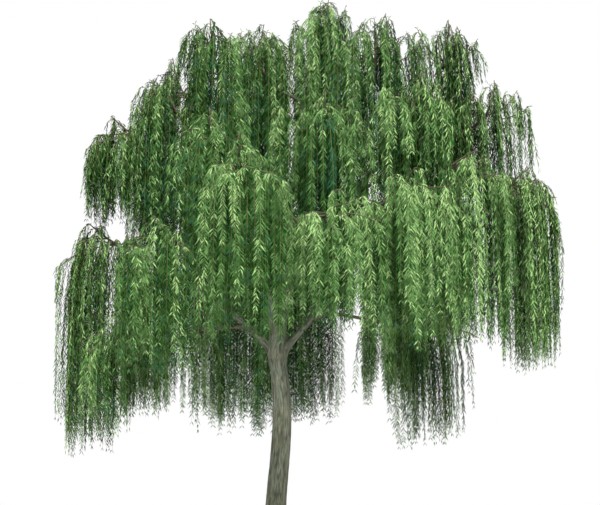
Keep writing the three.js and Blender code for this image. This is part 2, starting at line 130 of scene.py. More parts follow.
# Name, tier, x and y of the head, height of the top and of the hem, and for a main limb its parent and share.
MASSES = [
    ("crown_top", "top", 0.86, 0.05, 8.6, 5.9, "trunk", 0.93),
    ("top_left", "top", -1.0, -0.55, 8.15, 5.2, "trunk", 0.96),
    ("right_mid", "rim", 3.97, -0.35, 5.85, 2.6, "trunk", 0.88),
    ("left_low", "rim", -2.92, 0.15, 5.02, 1.35, "trunk", 0.91),
    ("right_top", "top", 2.8, 0.35, 8.36, 5.1, "crown_top", 0.2),
    ("back_mid", "side", 0.43, 2.95, 5.6, 1.85, "trunk", 0.94),
    ("front_mid", "side", 0.88, -2.95, 5.15, 2.95, "crown_top", 0.1),
    ("top_mid", "top", -0.17, 0.8, 8.38, 5.2),
    ("top_front", "top", 1.72, -0.8, 8.18, 5.4),
    ("left_shoulder", "high", -1.66, 0.85, 7.83, 4.3),
    ("left_high", "high", -1.66, -0.55, 7.25, 4.3),
    ("front_high", "high", 0.76, -1.7, 6.78, 4.3),
    ("front_left_high", "high", -0.95, -1.9, 6.5, 3.7),
    ("front_right_high", "high", 2.2, -1.8, 7.05, 4.4),
    ("right_high", "high", 3.5, 0.1, 7.32, 5.2),
    ("back_right_high", "high", 2.6, 1.8, 7.25, 4.3),
    ("back_high", "high", 0.95, 2.0, 7.5, 4.2),
    ("back_left_high", "high", -0.7, 2.2, 7.2, 4.2),
    ("left_mid", "rim", -2.56, 0.0, 6.7, 4.9),
    ("front_left_mid", "side", -1.78, -2.05, 4.85, 2.4),
    ("front_mid_left", "side", -0.48, -2.9, 5.78, 2.95),
    ("front_mid_right", "side", 2.0, -2.65, 5.5, 2.85),
    ("front_right_mid", "side", 2.98, -1.7, 5.9, 2.9),
    ("back_right_mid", "side", 2.95, 1.75, 5.75, 3.15),
    ("back_mid_right", "side", 2.2, 2.65, 5.85, 2.15),
    ("back_left_mid", "side", -0.68, 2.95, 5.7, 1.6),
    ("front_left_low", "low", -2.42, -1.2, 3.5, 1.65),
    ("back_left_low", "low", -2.1, 1.7, 4.75, 2.0),
    ("right_low", "low", 2.5, 0.15, 3.85, 1.45),
]

ARCH = SimpleNamespace(rise=0.06, lift=0.12, crest=0.45, splay=0.6, jitter=0.16)
CLEAR_OF_NEIGHBOUR = 0.012
ARCHES = 0.06
OVERHEAD = 0.06
UNDERNEATH = 0.06

# ---- What goes beyond the source: finer limbs, twigs and leaves ----

BLEND = 0.03  # how softly a limb's skin runs over into its parent's
BLEND_REACH = 0.45  # the most that a skin moves for it, as a share of its radius
BLEND_LEAD = 1.3  # it starts this many radii before the fork
BLEND_PASSES = 4
SKIN_REACH = 0.4  # skins further apart than this don't blend
LEAST_WEIGHT = 1e-30
# The trunk's top, drawn in over the fork.
TOP = SimpleNamespace(height=0.3, rings=16, thin=0.2, curve=1.5, shoulder=0.42, narrow=0.78)
ROOT = SimpleNamespace(depth=2.6, thin=0.35, steps=6, smooth=5)  # of a limb inside its parent, depth in radii
STEM = SimpleNamespace(steps=10, sides=8, radius=0.024, tip=0.007)
# A spray is a side shoot of the stem, with a smaller head of its own.
SPRAY = SimpleNamespace(
    steps=5,
    sides=4,
    radius=0.012,
    tip=0.005,
    within=0.1,  # the edge of the mass
    foot=0.3,  # spread of their roots along the stem
    bend=0.75,  # middle of its curve, as a share of the way out
    climb=0.2,  # and of the way up
    uneven=0.3,  # how much lower it may stand
    leafy=2,  # the first of its points with leaves
)
FULLNESS = {"top": 10, "high": 9, "side": 10, "rim": 17, "low": 8}  # sprays of a mass
DOME = {"top": 0.2, "high": 0.32, "side": 0.4, "rim": 0.65, "low": 0.4}  # how much lower the outer ones stand
LEVEL_INSIDE = {"top": 0, "high": 0.2, "side": 0.5, "rim": 0.9, "low": 0.5}  # share less towards the trunk
THINNED = {"left_low": 0.65}  # share of the sprays that a lighter mass has
HEM_FLAT = 0.45  # the hem rises beyond this share of the mass's reach, on the side away from the trunk
HEM_CURVE = {"top": 1, "high": 1, "side": 1.5, "rim": 6, "low": 3}  # by this much, a whole reach beyond
SPRAY_PULLS = (1, 0.85, 0.7, 0.55)  # it stands nearer to the head where its space is narrow
BORDER = 0.3  # a neighbour this near lets it stand further out
INWARD = 0.6  # and so does a place on the trunk's side, from 0 away from the trunk to 1 towards it
# Shoots of a limb itself, before it enters its mass.
SIDE_SHOOT = SimpleNamespace(
    first=0.35,  # share of the limb where they start
    spacing=0.35,
    ahead=0.05,  # share of the limb that gives its direction
    turn=(50, 110),  # degrees from the limb
    reach=(0.12, 0.4),
    rise=0.1,
    lift=2,  # times the lift of an arch
    fall=(0.5, 1.3),  # the most that its strands hang
)
BRANCHLET = SimpleNamespace(
    per_spray=4,
    steps=4,
    sides=3,
    radius=0.006,
    tip=0.0035,
    first=0.6,  # share of the spray where they start
    wander=0.5,  # of the angle from one to the next
    reach=(0.06, 0.24),
    sag=1.2,  # how far it ends below its root, as a share of its reach
)
STRAND = SimpleNamespace(
    per_branchlet=3,
    first=0.2,  # share of the branchlet where the first one hangs
    run=(0.02, 0.09),  # how far it goes out before it falls
    fan=70,  # degrees to either side of its branchlet
    arch_steps=2,
    arch=(0.8, 0.3),  # out and up to the middle of its arch, as shares of its run
    shoulder=0.9,  # and down to the end of it
    fall_step=0.9,
    crowding=1.4,  # of its points towards the arch
    flare=0.07,  # outwards below its arch, on average
    flare_fall=0.35,
    drift=0.01,  # outwards after that, as a share of its fall
    sway=0.03,
    wave=(2, 4),  # least angle of the sway, and how much more
    ragged=0.4,  # how much higher than the hem a whole spray may end
    frayed=0.5,  # and one strand
    fray_curve=1.6,
    mingle=0.12,  # over the border with a neighbour
    overhang=0.3,  # past the top of a neighbour that stands lower
    least=0.3,
    sides=3,
    radius=0.0034,
    tip=0.0016,
)
LEAF = SimpleNamespace(
    length=0.1,
    width=0.018,
    spacing=0.042,  # from pair to pair
    jitter=0.3,  # of a pair's place, as a share of the spacing
    stagger=0.007,  # between the two of a pair
    bare=0.03,
    lean=(28, 54),  # degrees from the strand
    droop=0.1,
    hang=0.6,  # how much more it hangs on a level twig
    upward=0.35,  # how much its face turns up
    fold=0.7,  # rise of its edges over the midrib, as a share of their distance from it
    turn=42,  # degrees that a pair turns from the broad side of its strand
    roll=50,
    uneven=0.28,
    small=0.2,  # how much smaller the first ones are
    small_part=6,  # one in so many is smaller
    young=0.7,  # size at the strand's end
)
LEAF_SEED = 1000
BLADE = ((0, 0), (0.4, 0.5), (0.4, -0.5), (1, 0))  # a leaf's corners, as shares of its length and width
BLADE_FACES = ((0, 1, 3), (0, 3, 2))
LEAF_PARTS = ("roots", "directions", "size", "roll", "outward")

# A leaf is painted lighter, as sunlight, near the head of its mass, towards the mass's outside and far from
# the trunk, and darker, as painted shade, low in the mass, inside it and near the trunk. Strand and bit vary
# it at random.
LIGHT = SimpleNamespace(
    # painted sunlight on the head of the mass, fading with depth below it
    head=0.36,
    head_depth=0.55,
    # painted light towards the mass's outside, painted shade inside it
    outside=0.22,
    outside_most=1.2,  # times the radius that twigs hang within
    # painted sunlight on the leaves far from the trunk
    painted_sun=0.24,
    strand=0.6,  # how much strands vary
    bit=0.5,  # and short lengths of them
    darker=0.2,  # taken off every leaf
)
LIGHTER_THAN = (0.95, 0.72, 0.48, 0.3)  # where each tint but the last begins
SAME_TINT = 0.08  # length of strand that shares a tint
SUNNY = (2.1, 3.9)  # distances from the trunk between which the painted sunlight on the leaves goes up
# Lit and shaded copies of one leaf colour: the lighter ones for painted sunlight, the darker ones for painted
# shade.
LEAF_COLOURS = {
    "fresh": (0.195, 0.325, 0.125),
    "light": (0.08, 0.172, 0.054),
    "mid": (0.026, 0.078, 0.018),
    "deep": (0.007, 0.031, 0.003),
    "cool": (0.017, 0.07, 0.033),
}
LEAF_ROUGHNESS = 0.38
LEAF_SPECULAR = 0.02

BARK = SimpleNamespace(
    ridge=0.032,  # width of a ridge
    fewest=5,  # ridges round a limb
    length=0.3,
    warp=1.1,  # how far furrows wander, in ridges
    valley=0.75,  # depth of the furrows between ridges
    valley_edge=3,
    crack=0.45,  # and of the finer cracks
    crack_edge=4,
    crack_length=0.45,  # as a share of a ridge's length
    depth=0.06,  # of a furrow, as a share of the radius
    level=0.25,  # share of that depth which lies on the limb's own radius
    seed=11,
    seed_step=7,
    shift=3.1,  # of the grain, from one limb to the next
    trunk_sides=132,
    trunk_rings=120,
    limb_sides=28,
    limb_steps=64,
    bough_sides=14,
    bough_steps=30,
)
# Painted shade in the furrows, low and high on the fibres, and in the warmer patches.
BARK_COLOURS = {
    "bark": ((0.02, 0.024, 0.016), (0.055, 0.064, 0.047), (0.145, 0.163, 0.125), (1.0, 0.92, 0.85)),
    "young_bark": ((0.022, 0.022, 0.015), (0.045, 0.046, 0.032), (0.1, 0.102, 0.073), (1.0, 0.92, 0.8)),
}
BARK_FIBRES = {"bark": (52, 0.014), "young_bark": (60, 0.005)}  # their scale and height
TWIG_BROWN = (0.07, 0.055, 0.035)
TWIG_ROUGHNESS = 0.8
SHOOT_OLIVE = (0.13, 0.15, 0.05)
SHOOT_ROUGHNESS = 0.7

UP = np.array([0.0, 0.0, 1.0])
GOLDEN_ANGLE = math.pi * (3 - math.sqrt(5))
TINY = 1e-12
SMOOTH_STEPS = 200  # fine enough to find a place on a limb's smooth curve
ALONG_X = 0.95  # a line this nearly along X starts from Y for its direction across


def level(angle):
    """A level direction, by its angle round the tree."""
    return np.array([math.cos(angle), math.sin(angle), 0.0])


def unit(vectors):
    """Vectors at length 1."""
    return vectors / np.maximum(np.linalg.norm(vectors, axis=-1, keepdims=True), TINY)


def bezier(controls, steps):
    """Evenly spaced points in parameter on a Bezier curve."""
    t = np.linspace(0, 1, steps + 1)[:, None]
    line = [np.broadcast_to(c, (steps + 1, 3)) for c in controls]
    while len(line) > 1:
        line = [a + (b - a) * t for a, b in zip(line, line[1:])]
    return line[0]


def point_on(points, share):
    """The point at a share of a line's steps."""
    at = share * (len(points) - 1)
    i = min(int(at), len(points) - 2)
    return points[i] + (points[i + 1] - points[i]) * (at - i)


def part_way(ends, share):
    """The value at a share of the way from one end to the other."""
    return ends[0] + (ends[1] - ends[0]) * share


def ease(share):
    """A share that sets off and arrives softly."""
    return share * share * (3 - 2 * share)


def lengths_along(line):
    """The length of a line up to each of its points."""
    return np.append(0, np.cumsum(np.linalg.norm(np.diff(line, axis=0), axis=1)))


def at_length(line, lengths, at):
    """The place or places at some lengths along a line."""
    return np.stack([np.interp(at, lengths, line[:, axis]) for axis in range(3)], -1)


# ---- Trunk and limbs ----


def trunk_centre(z):
    """The trunk's middle at some heights."""
    turn = math.pi * TRUNK.bow_turn * (np.maximum(z, 0) / TRUNK.height) ** TRUNK.bow_bend
    return np.stack([TRUNK.bow * np.sin(turn), np.zeros_like(z), z], -1)


def trunk_radius(z):
    """The trunk's radius at some heights."""
    swell = np.exp(-(((z - TRUNK.height) / TRUNK.swell_height) ** 2))
    flare = np.exp(-z / TRUNK.flare_height)
    return TRUNK.radius - TRUNK.taper * z + TRUNK.flare * flare + TRUNK.swell * swell


def trunk_line(rings):
    """Points and radii up the trunk and over its rounded top."""
    heights = TRUNK.height * np.linspace(0, 1, rings) ** TRUNK.crowding
    top = trunk_centre(np.array([TRUNK.height]))[0]
    radius = trunk_radius(TRUNK.height)
    cap = [top + UP * TRUNK.cap * rise for rise, _ in TRUNK.cap_shape]
    radii = [radius * share for _, share in TRUNK.cap_shape]
    return np.vstack([trunk_centre(heights), cap]), np.append(trunk_radius(heights), radii)


def plan_mass(row, index):
    """A mass with its bough's tip worked out."""
    name, tier, x, y, top, hem = row[:6]
    parent, share = row[6:] if len(row) > 6 else (None, None)
    size = TIERS[tier]
    out = unit(np.array([x, y, 0.0]))
    head = np.array([x, y, top - ARCHES])
    tip = head - out * size.run
    tip[2] = top - size.rise
    slope = math.radians(size.slope)
    return SimpleNamespace(
        name=name,
        tier=tier,
        head=head,
        top=top,
        hem=hem,
        hang=size.hang,
        spread=size.spread,
        tip=tip,
        tip_direction=out * math.cos(slope) + UP * math.sin(slope),
        parent=parent,
        share=share,
        turn=GOLDEN_ANGLE * index,
        seed=index + 1,
    )


def limb_controls(parent, share, mass):
    """The curve of a limb, which sets off between its parent's direction and its own."""
    start = point_on(parent, share)
    i = min(int(share * (len(parent) - 1)), len(parent) - 2)
    reach = np.linalg.norm(mass.tip - start)
    onwards = unit(parent[i + 1] - parent[i]) * LIMB_PULL.parent
    set_off = unit(onwards + unit(mass.tip - start))
    before = mass.tip - mass.tip_direction * reach * LIMB_PULL.tip
    return [start, start + set_off * reach * LIMB_PULL.root, before, mass.tip]


def to_segments(points, starts, ends):
    """Distance from each point to each straight piece, and the share of the piece that is nearest."""
    way = ends - starts
    square = np.maximum((way**2).sum(-1), TINY)
    off = points[:, None] - starts[None]
    share = np.clip((off * way).sum(-1) / square, 0, 1)
    return np.linalg.norm(off - share[..., None] * way, axis=-1), share


def clearance(line, others):
    """The closest that a limb comes to other lines, away from its own root."""
    points = np.vstack([line[1:], (line[1:] + line[:-1]) / 2])
    starts = np.vstack([other[:-1] for other in others])
    ends = np.vstack([other[1:] for other in others])
    return to_segments(points, starts, ends)[0].min()


def nearest_fork(limbs, mass, masses):
    """The place on a main limb that gives a bough the shortest climb, clear of the others."""
    stems = [np.array([m.tip, m.head]) for m in masses if m is not mass]
    best = None
    for limb in [limb for limb in limbs if limb.main]:
        share = FORK_FROM
        while share <= FORK_TO:
            if all(abs(child.share - share) > FORK_APART for child in limb.children):
                start = point_on(limb.points, share)
                reach = np.hypot(*(mass.tip - start)[:2])
                short = max(0, LEAST_CLIMB * reach - (mass.tip - start)[2])
                line = bezier(limb_controls(limb.points, share, mass), BOUGH_STEPS)
                others = stems + [other.points for other in limbs if other is not limb]
                tight = clearance(line, others) < LIMBS_APART
                cost = np.linalg.norm(mass.tip - start) + FLAT_COST * short + TIGHT_COST * tight
                if best is None or cost < best[0]:
                    best = (cost, limb, share)
            share += FORK_STEP
    return best[1], best[2]


def grow_limbs(masses):
    """The trunk and every limb, with the radius at each limb's root."""
    points, radii = trunk_line(TRUNK.rings)
    trunk = SimpleNamespace(name="trunk", points=points, radii=radii, children=[], curve=None)
    limbs = []
    for mass in masses:
        main = mass.parent is not None
        if main:
            parent = next(limb for limb in [trunk, *limbs] if limb.name == mass.parent)
            share = mass.share
        else:
            parent, share = nearest_fork(limbs, mass, masses)
        controls = limb_controls(parent.points, share, mass)
        limb = SimpleNamespace(
            name=mass.name,
            mass=mass,
            main=main,
            parent=parent,
            share=share,
            children=[],
            points=bezier(controls, MAIN_STEPS if main else BOUGH_STEPS),
            curve=[curve_start(parent, share), *controls[1:]],
        )
        parent.children.append(limb)
        limbs.append(limb)
    for limb in reversed(limbs):
        limb.base = math.sqrt(TIP_RADIUS**2 + sum(child.base**2 for child in limb.children))
        limb.radii = limb_radii(limb, len(limb.points))
    return trunk, limbs


def curve_start(parent, share):
    """Where a limb leaves its parent's smooth curve."""
    if parent.curve is None:
        return point_on(parent.points, share)
    return point_on(bezier(parent.curve, SMOOTH_STEPS), share)


def limb_radii(limb, count):
    """The radius at evenly spaced points of a limb."""
    share = np.linspace(0, 1, count)
    collar = 1 + COLLAR * np.exp(-share / COLLAR_LENGTH)
    return (limb.base + (TIP_RADIUS - limb.base) * share) * collar


# ---- Space of a mass ----


def room_in_plan(mass, masses, points, overhang=0):
    """How far points are inside a mass's space, which meets its neighbours where their circles balance."""
    room = np.full(len(points), np.inf)
    for other in masses:
        if other is mass:
            continue
        apart = np.hypot(*(other.head - mass.head)[:2])
        own = ((points[:, :2] - mass.head[:2]) ** 2).sum(1) - mass.spread**2
        theirs = ((points[:, :2] - other.head[:2]) ** 2).sum(1) - other.spread**2
        shared = (points[:, 2] < other.top + OVERHEAD - overhang) & (points[:, 2] > other.hem - UNDERNEATH)
        room = np.where(shared, np.minimum(room, (theirs - own) / (2 * apart)), room)
    return room - CLEAR_OF_NEIGHBOUR


def room_from_limbs(limbs, points):
    """How far points are outside the trunk and limbs."""
    starts = np.vstack([limb.points[:-1] for limb in limbs])
    ends = np.vstack([limb.points[1:] for limb in limbs])
    radii = np.concatenate([np.maximum(limb.radii[:-1], limb.radii[1:]) for limb in limbs])
    return (to_segments(points, starts, ends)[0] - radii).min(1) - CLEAR_OF_NEIGHBOUR


# ---- Twigs ----


def stem_line(mass, limb):
    """The stem that goes on from the bough's tip and bends up to the head."""
    facing = unit(limb.points[-1] - limb.points[-2])
    start = limb.points[-1] + facing * GAP
    bend = start + facing * np.linalg.norm(mass.head - start) / 2
    return bezier([start, bend, mass.head], STEM.steps)


def spray_line(mass, masses, limb, stem, k, count, random):
    """A shoot that bends up to its place in a spiral over the plan of the mass. The first is the stem."""
    if k == 0:
        return stem
    share = k / (count - 1)
    foot = np.vstack([limb.points[-2:], stem[1:]])
    start = point_on(foot, SPRAY.foot * (1 - share) + SPRAY.foot * random())
    radius = (mass.hang - SPRAY.within) * math.sqrt(share)
    wander = mass.hang * ARCH.jitter * (2 * np.array([random(), random(), 0.5]) - 1)
    offset = level(GOLDEN_ANGLE * k + mass.turn) * radius + wander
    facing_trunk = 0.5 - 0.5 * (unit(offset) @ unit(mass.head * [1, 1, 0]))
    dome = DOME[mass.tier] * (1 - LEVEL_INSIDE[mass.tier] * facing_trunk)
    sunk = UP * (dome * share + SPRAY.uneven * random())
    further = mass.head + offset * mass.spread / mass.hang - sunk
    filling = facing_trunk > INWARD or room_in_plan(mass, masses, further[None])[0] < BORDER
    pulls = [mass.spread / mass.hang] if filling else []
    for pull in [*pulls, *SPRAY_PULLS]:
        place = mass.head + offset * pull - sunk
        if room_in_plan(mass, masses, place[None])[0] > 0:
            break
    place = np.clip(place, REACH_MIDDLE - REACH_HALF, REACH_MIDDLE + REACH_HALF)
    bend = start + (place - start) * np.array([SPRAY.bend, SPRAY.bend, SPRAY.climb])
    return bezier([start, bend, place], SPRAY.steps)


def side_shoots(limb, random):
    """Shoots to the left and right of a limb, up to where it enters its mass."""
    length = np.linalg.norm(np.diff(limb.points, axis=0), axis=1).sum()
    count = int(length * (1 - SIDE_SHOOT.first) / SIDE_SHOOT.spacing)
    shoots = []
    for k in range(count):
        share = SIDE_SHOOT.first + (1 - SIDE_SHOOT.first) * (k + random()) / count
        start = point_on(limb.points, share)
        onwards = point_on(limb.points, min(1, share + SIDE_SHOOT.ahead)) - start
        turn = math.radians(part_way(SIDE_SHOOT.turn, random())) * (-1) ** k
        reach = part_way(SIDE_SHOOT.reach, random())
        out = level(math.atan2(onwards[1], onwards[0]) + turn)
        over = start + out * reach * ARCH.crest + UP * (SIDE_SHOOT.rise + reach * ARCH.lift * SIDE_SHOOT.lift)
        place = start + out * reach + UP * SIDE_SHOOT.rise * random()
        shoots.append(bezier([start, over, place], SPRAY.steps))
    return shoots


def home_of(place, masses):
    """The mass whose space a place is in, if any."""
    inside = [mass for mass in masses if mass.hem + STRAND.least < place[2] < mass.top]
    if not inside:
        return None
    return min(inside, key=lambda mass: ((place - mass.head)[:2] ** 2).sum() - mass.spread**2)


def branchlet_line(spray, b, random):
    """A twig that leaves a spray near its end and arches over."""
    share = BRANCHLET.first + (1 - BRANCHLET.first) * math.sqrt((b + random()) / BRANCHLET.per_spray)
    start = point_on(spray, share)
    away = spray[-1] - spray[0]
    turn = math.atan2(away[1], away[0]) + GOLDEN_ANGLE * (b + BRANCHLET.wander * random())
    reach = part_way(BRANCHLET.reach, random())
    out = level(turn)
    over = start + out * reach * ARCH.crest + UP * (ARCH.rise + reach * ARCH.lift)
    return bezier([start, over, start + out * reach - UP * reach * BRANCHLET.sag], BRANCHLET.steps)


def strand_line(mass, branchlet, share, ragged, most, random):
    """A shoot that leaves the branchlet, arches over and hangs down to the hem."""
    start = point_on(branchlet, STRAND.first + (1 - STRAND.first) * math.sqrt(share))
    away = branchlet[-1] - branchlet[0]
    fan = math.radians(STRAND.fan) * (2 * random() - 1)
    out = level(math.atan2(away[1], away[0]) + fan)
    run = part_way(STRAND.run, random())
    shoulder = start + out * run - UP * run * STRAND.shoulder
    over = start + out * run * STRAND.arch[0] + UP * run * STRAND.arch[1]
    arch = bezier([start, over, shoulder], STRAND.arch_steps)
    edge = (shoulder - mass.head)[:2] @ unit(mass.head[:2]) / mass.hang
    frayed = STRAND.frayed * random() ** STRAND.fray_curve
    rise = ragged + frayed + HEM_CURVE[mass.tier] * max(0, edge - HEM_FLAT) ** 2
    fall = shoulder[2] - mass.hem - rise
    if fall < STRAND.least:
        return None
    fall = min(fall, most)
    steps = max(2, math.ceil(fall / STRAND.fall_step))
    down = np.linspace(0, 1, steps + 1)[1:, None] ** STRAND.crowding
    splayed = shoulder - mass.head * ARCH.splay
    splayed[2] = 0
    sway = level(2 * math.pi * random()) * STRAND.sway * (0.5 + random())
    bend = np.sin(down * (STRAND.wave[0] + STRAND.wave[1] * random())) * sway
    flare = STRAND.flare * 2 * random() * (1 - np.exp(-fall * down / STRAND.flare_fall))
    hanging = shoulder + unit(splayed) * (flare + fall * STRAND.drift * down) - UP * fall * down + bend
    return np.vstack([arch, hanging])


def within_reach(points):
    """Which points leave room for a leaf inside the tree's overall size."""
    return (np.abs(points - REACH_MIDDLE) < REACH_HALF).all(1)


def keep_inside(lines, mass, masses, limbs):
    """Each line up to where it would leave the mass's space or touch a limb."""
    points = np.vstack(lines)
    fine = np.vstack([points, np.vstack([(line[1:] + line[:-1]) / 2 for line in lines])])
    room = room_in_plan(mass, masses, fine, STRAND.overhang) + STRAND.mingle
    room = np.minimum(room, room_from_limbs(limbs, fine))
    good = (room > 0) & within_reach(fine)
    kept, at, mid = [], 0, len(points)
    for line in lines:
        own = good[at : at + len(line)]
        between = good[mid : mid + len(line) - 1]
        bad = np.flatnonzero(~(own[1:] & between))
        last = bad[0] + 1 if len(bad) else len(line)
        at += len(line)
        mid += len(line) - 1
        if own[0] and last > STRAND.arch_steps:
            kept.append(line[:last])
    return kept


def grow_mass(mass, limb, masses, limbs):
    """The stem, the sprays, their branchlets and the strands of a mass."""
    random = np.random.RandomState(mass.seed).random_sample
    stem = stem_line(mass, limb)
    grown = SimpleNamespace(mass=mass, stem=stem, sprays=[], branchlets=[], strands=[])
    count = round(FULLNESS[mass.tier] * THINNED.get(mass.name, 1))
    sprays = []
    for k in range(count):
        sprays.append((spray_line(mass, masses, limb, stem, k, count, random), mass, math.inf))
    for shoot in side_shoots(limb, random):
        home = home_of(shoot[-1], masses)
        if home:
            sprays.append((shoot, home, part_way(SIDE_SHOOT.fall, random())))
    for k, (spray, home, most) in enumerate(sprays):
        ragged = STRAND.ragged * random() ** 2
        holds = False
        for b in range(BRANCHLET.per_spray):
            line = branchlet_line(spray, b, random)
            if not within_reach(line).all():
                continue
            number = int(STRAND.per_branchlet + random())
            hanging = []
            for j in range(number):
                strand = strand_line(home, line, (j + random()) / number, ragged, most, random)
                if strand is not None:
                    hanging.append(strand)
            kept = keep_inside(hanging, home, masses, limbs) if hanging else []
            if kept:
                grown.branchlets.append(line)
                grown.strands += kept
                holds = True
        if holds and k:  # the first is the stem
            grown.sprays.append(spray)
    return grown


# ---- Meshes ----


def mesh_object(name, vertices, quads=None, triangles=None, material=None):
    """A mesh object from arrays."""
    loops, starts, at = [], [], 0
    for faces in (quads, triangles):
        if faces is None or not len(faces):
            continue
        sides = faces.shape[1]
        loops.append(faces.ravel())
        starts.append(at + np.arange(len(faces)) * sides)
        at += faces.size
    mesh = bpy.data.meshes.new(name)
    mesh.vertices.add(len(vertices))
    mesh.vertices.foreach_set("co", np.ascontiguousarray(vertices, np.float32).ravel())
    mesh.loops.add(at)
    mesh.loops.foreach_set("vertex_index", np.concatenate(loops).astype(np.int32))
    mesh.polygons.add(sum(len(s) for s in starts))
    mesh.polygons.foreach_set("loop_start", np.concatenate(starts).astype(np.int32))
    mesh.update(calc_edges=True)
    mesh.validate()
    if material:
        mesh.materials.append(material)
    made = bpy.data.objects.new(name, mesh)
    bpy.context.scene.collection.objects.link(made)
    return made


def frames(points, facing=None):
    """Two directions across a line at each of its points, carried along it without twist."""
    tangents = unit(np.gradient(points, axis=0))
    if facing is not None:
        tangents[0] = facing
    across = np.array([1.0, 0.0, 0.0])
    if abs(tangents[0][0]) > ALONG_X:
        across = np.array([0.0, 1.0, 0.0])
    first, second = [], []
    for tangent in tangents:
        across = unit(across - tangent * (across @ tangent))
        first.append(across)
        second.append(np.cross(tangent, across))
    return np.array(first), np.array(second)


def ring_quads(rings, sides, base=0):
    """The faces between neighbouring rings of a tube."""
    ring = np.arange(rings - 1)[:, None] * sides
    k = np.arange(sides)[None]
    after = (k + 1) % sides
    quads = np.stack([ring + k, ring + after, ring + sides + after, ring + sides + k], -1)
    return quads.reshape(-1, 4) + base


def end_fans(rings, sides, base):
    """The faces that close a tube, on the two points that follow its rings."""
    total = rings * sides
    k = np.arange(sides)
    after = (k + 1) % sides
    low = np.stack([np.full(sides, total), after, k], -1)
    high = np.stack([np.full(sides, total + 1), total - sides + k, total - sides + after], -1)
    return np.vstack([low, high]) + base


def circles(line, sides, facing=None):
    """Angles round a line, and the directions out at them from each of its points."""
    first, second = frames(line, facing)
    angles = 2 * np.pi * np.arange(sides) / sides
    cos, sin = np.cos(angles)[None, :, None], np.sin(angles)[None, :, None]
    return angles, cos * first[:, None] + sin * second[:, None]


def thin_tubes(lines, radius, tip, sides):
    """Tapering tubes round many lines, closed by a point at each end."""
    vertices, quads, triangles, base = [], [], [], 0
    for line in lines:
        radii = np.linspace(radius, tip, len(line))
        rings = line[:, None] + circles(line, sides)[1] * radii[:, None, None]
        ends = np.array([line[0], line[-1]])
        vertices.append(np.vstack([rings.reshape(-1, 3), ends]))
        quads.append(ring_quads(len(line), sides, base))
        triangles.append(end_fans(len(line), sides, base))
        base += len(line) * sides + 2
    return np.vstack(vertices), np.vstack(quads), np.vstack(triangles)


# ---- Bark ----


def lattice_noise(u, v, cells, seed):
    """Smooth noise from 0 to 1 on a lattice that closes on itself after a number of cells in u."""
    rng = np.random.RandomState(seed)
    rows = int(v.max()) + 3
    values = rng.random_sample((rows, cells))
    iu, iv = np.floor(u).astype(int), np.floor(v).astype(int)
    fu, fv = u - iu, v - iv
    fu, fv = ease(fu), ease(fv)
    a, b = values[iv, iu % cells], values[iv, (iu + 1) % cells]
    c, d = values[iv + 1, iu % cells], values[iv + 1, (iu + 1) % cells]
    return (a * (1 - fu) + b * fu) * (1 - fv) + (c * (1 - fu) + d * fu) * fv


def bark_relief(around, along, girth, seed):
    """Furrow depth from 0 to 1, at shares of the way round and metres along a limb of this girth."""
    cells = max(BARK.fewest, round(girth / BARK.ridge))
    warp = lattice_noise(around * cells, along / BARK.length, cells, seed + 1)
    u = around * cells + warp * BARK.warp
    wide = lattice_noise(u % cells, along / BARK.length, cells, seed)
    fine_cells = cells * 2
    crack_length = BARK.length * BARK.crack_length
    fine = lattice_noise((u * 2) % fine_cells, along / crack_length, fine_cells, seed + 2)
    valley = (1 - np.abs(2 * wide - 1)) ** BARK.valley_edge
    crack = (1 - np.abs(2 * fine - 1)) ** BARK.crack_edge
    return np.clip(BARK.valley * valley + BARK.crack * crack, 0, 1)


def give_root(limb, steps):
    """A limb's smooth line and radii, from a thin root deep inside its parent."""
    curve, radii = bezier(limb.curve, steps), limb_radii(limb, steps + 1)
    line = limb.parent.fine
    lengths = lengths_along(line)
    fork = lengths[np.linalg.norm(line - curve[0], axis=1).argmin()]
    depth = min(ROOT.depth * limb.base, fork)
    foot = at_length(line, lengths, fork - depth)
    root = foot + (curve[0] - foot) * np.linspace(0, 1, ROOT.steps + 1)[:-1, None]
    limb.fine = np.vstack([root, curve])
    end = 2 * ROOT.steps
    for _ in range(ROOT.smooth):
        limb.fine[1:end] = (limb.fine[: end - 1] + limb.fine[2 : end + 1]) / 2
    swell = ROOT.thin + (1 - ROOT.thin) * np.linspace(0, 1, ROOT.steps + 1)[:-1]
    limb.fine_radii = np.append(radii[0] * swell, radii)
    limb.rooted = depth


def sink_top(line, radii):
    """The trunk's line and radii with its top drawn in over the fork, so that the limbs' skins take over."""
    rise = np.linspace(0, 1, TOP.rings + 1)[1:]
    turn = unit(line[-1] - line[-2])
    line = np.vstack([line, line[-1] + turn * TOP.height * rise[:, None]])
    radii = np.append(radii, radii[-1] * (1 - (1 - TOP.thin) * rise**TOP.curve))
    below = np.clip((TRUNK.height - line[:, 2]) / TOP.shoulder, 0, 1)
    return line, radii * (TOP.narrow + (1 - TOP.narrow) * ease(below))


def blend_weight(distances):
    """How strongly skins at these distances count in a blend."""
    return np.exp(-np.clip(distances, -SKIN_REACH, SKIN_REACH) / BLEND)


def skin_distance(points, bodies):
    """Distance from points to the blended skin of all limbs, inside below 0."""
    total = np.zeros(len(points))
    for body in bodies:
        starts, ends = body.fine[:-1], body.fine[1:]
        below = points.min(0) - SKIN_REACH < body.fine.max(0)
        above = points.max(0) + SKIN_REACH > body.fine.min(0)
        if not (below & above).all():
            continue
        distance, share = to_segments(points, starts, ends)
        radius = body.fine_radii[:-1] + (body.fine_radii[1:] - body.fine_radii[:-1]) * share
        total += blend_weight((distance - radius).min(1))
    return -BLEND * np.log(np.maximum(total, LEAST_WEIGHT))


